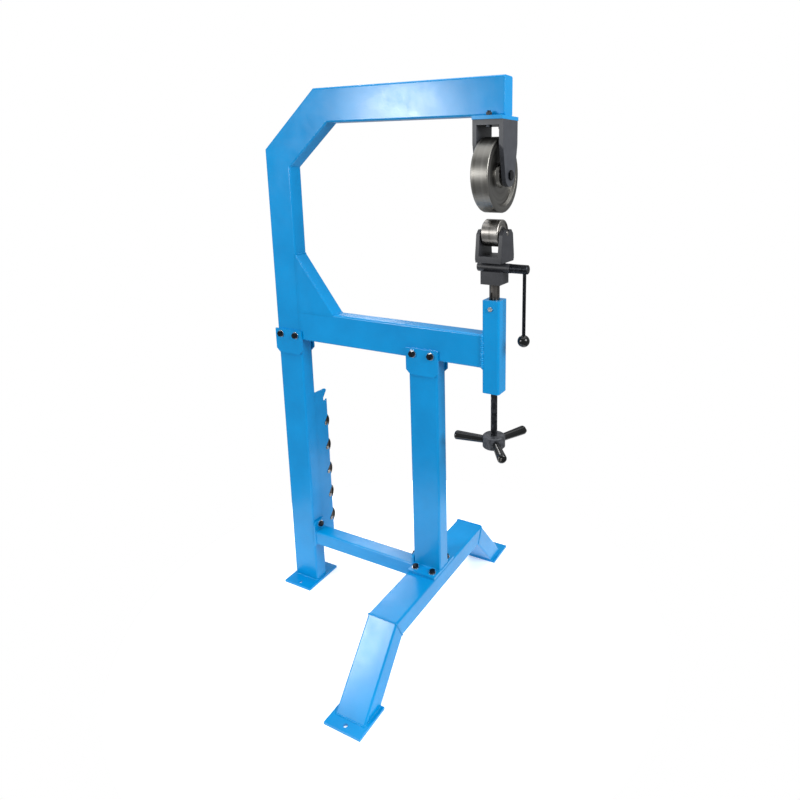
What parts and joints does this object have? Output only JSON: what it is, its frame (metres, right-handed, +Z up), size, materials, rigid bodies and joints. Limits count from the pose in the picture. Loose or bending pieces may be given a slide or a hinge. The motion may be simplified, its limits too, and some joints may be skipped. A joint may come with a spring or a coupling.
{
  "type": "english wheel",
  "caption": "Stand-mounted english wheel: C-shaped tube frame, fixed upper wheel, screw-raised anvil with quick-lift cam lever, star handle and a side rack of spare anvils.",
  "frame": {"origin": "on the floor, below the middle of the machine's outline", "axes": "+X along the throat towards the wheels, +Y along the rolling direction towards the rack's side, +Z up"},
  "size_m": [0.9298, 0.97, 1.745],
  "materials": {
    "blue_paint": "gloss azure blue powder coat",
    "grey_paint": "satin dark grey paint",
    "bare_steel": "turned and polished bare steel",
    "black_steel": "black oxide steel",
    "gloss_black": "gloss black moulded plastic",
    "dark_steel": "dark machined steel",
    "bronze": "plain bearing bronze"
  },
  "bodies": {
    "frame": {"top_arm": "blue_paint", "upper_corner_tube": "blue_paint", "back_tube": "blue_paint", "lower_corner_gusset": "blue_paint", "lower_arm": "blue_paint", "guide_tube": "blue_paint", "guide_top_plate": "blue_paint", "arm_end_cap": "blue_paint", "fork_flange": "blue_paint", "rear_post": "blue_paint", "front_leg": "blue_paint", "joint_plates": "blue_paint", "rear_foot_plate": "blue_paint", "cross_foot_beam": "blue_paint", "cross_foot_legs": "blue_paint", "cross_foot_plates": "blue_paint", "leg_base_flange": "blue_paint", "brace": "blue_paint", "brace_end_plates": "blue_paint", "joint_bolts": "black_steel", "base_bolts": "black_steel", "brace_bolts": "black_steel", "stand_washers": "bare_steel", "stand_nuts": "black_steel", "rack_back": "blue_paint", "rack_comb_front": "blue_paint", "rack_comb_rear": "blue_paint", "spare_axles": "bare_steel", "upper_fork": "grey_paint", "fork_bolts": "black_steel", "upper_axle": "black_steel", "upper_axle_nut": "black_steel", "upper_spacers": "bare_steel", "guide_bushings": "bronze", "screw_nut": "bronze", "set_screw": "bare_steel"},
    "upper_wheel": {"upper_wheel": "bare_steel", "upper_bearings": "dark_steel"},
    "lift": {"lift_block": "grey_paint", "cam_barrel": "grey_paint", "lift_shaft": "bare_steel", "dowel_pins": "bare_steel"},
    "screw": {"adjusting_screw": "dark_steel", "star_hub": "dark_steel", "star_grips": "gloss_black"},
    "lever": {"cam_shaft": "dark_steel", "lever_hub": "black_steel", "lever_rod": "black_steel", "lever_ball": "gloss_black"},
    "yoke": {"anvil_yoke": "grey_paint", "yoke_follower": "bare_steel", "anvil_axle": "bare_steel", "anvil_spacers": "bare_steel"},
    "anvil": {"anvil_wheel": "bare_steel", "anvil_bearings": "dark_steel"},
    "spare_1": {"spare_anvil_1": "bare_steel"},
    "spare_2": {"spare_anvil_2": "bare_steel"},
    "spare_3": {"spare_anvil_3": "bare_steel"},
    "spare_4": {"spare_anvil_4": "bare_steel"},
    "spare_5": {"spare_anvil_5": "bare_steel"}
  },
  "joints": [
    {"name": "upper_wheel_spin", "type": "hinge", "parent": "frame", "child": "upper_wheel", "pos_m": [0.35935, 0, 1.489], "axis": [1, 0, 0], "continuous": true},
    {"name": "spare_anvil_1_spin", "type": "hinge", "parent": "frame", "child": "spare_1", "pos_m": [-0.38965, 0.0735, 0.597], "axis": [1, 0, 0], "continuous": true},
    {"name": "spare_anvil_2_spin", "type": "hinge", "parent": "frame", "child": "spare_2", "pos_m": [-0.38965, 0.0735, 0.501], "axis": [1, 0, 0], "continuous": true},
    {"name": "spare_anvil_3_spin", "type": "hinge", "parent": "frame", "child": "spare_3", "pos_m": [-0.38965, 0.0735, 0.405], "axis": [1, 0, 0], "continuous": true},
    {"name": "spare_anvil_4_spin", "type": "hinge", "parent": "frame", "child": "spare_4", "pos_m": [-0.38965, 0.0735, 0.309], "axis": [1, 0, 0], "continuous": true},
    {"name": "spare_anvil_5_spin", "type": "hinge", "parent": "frame", "child": "spare_5", "pos_m": [-0.38965, 0.0735, 0.213], "axis": [1, 0, 0], "continuous": true},
    {"name": "lift_slide", "type": "slide", "parent": "frame", "child": "lift", "axis": [0, 0, 1], "range_m": [-0.04, 0.0115]},
    {"name": "screw_turn", "type": "hinge", "parent": "lift", "child": "screw", "pos_m": [0.35935, 0, 0.7], "axis": [0, 0, 1], "range_deg": [-3600, 1035]},
    {"name": "lever_turn", "type": "hinge", "parent": "lift", "child": "lever", "pos_m": [0.35935, 0, 1.2345], "axis": [1, 0, 0], "range_deg": [0, 90]},
    {"name": "yoke_lift", "type": "slide", "parent": "lift", "child": "yoke", "axis": [0, 0, 1], "range_m": [0, 0.005]},
    {"name": "anvil_spin", "type": "hinge", "parent": "yoke", "child": "anvil", "pos_m": [0.35935, 0, 1.3315], "axis": [1, 0, 0], "continuous": true}
  ],
  "couplings": [
    {"joint": "lift_slide", "follows": "screw_turn", "m_per_rad": 0.0006366},
    {"joint": "yoke_lift", "follows": "lever_turn", "m_per_rad": 0.003183}
  ]
}
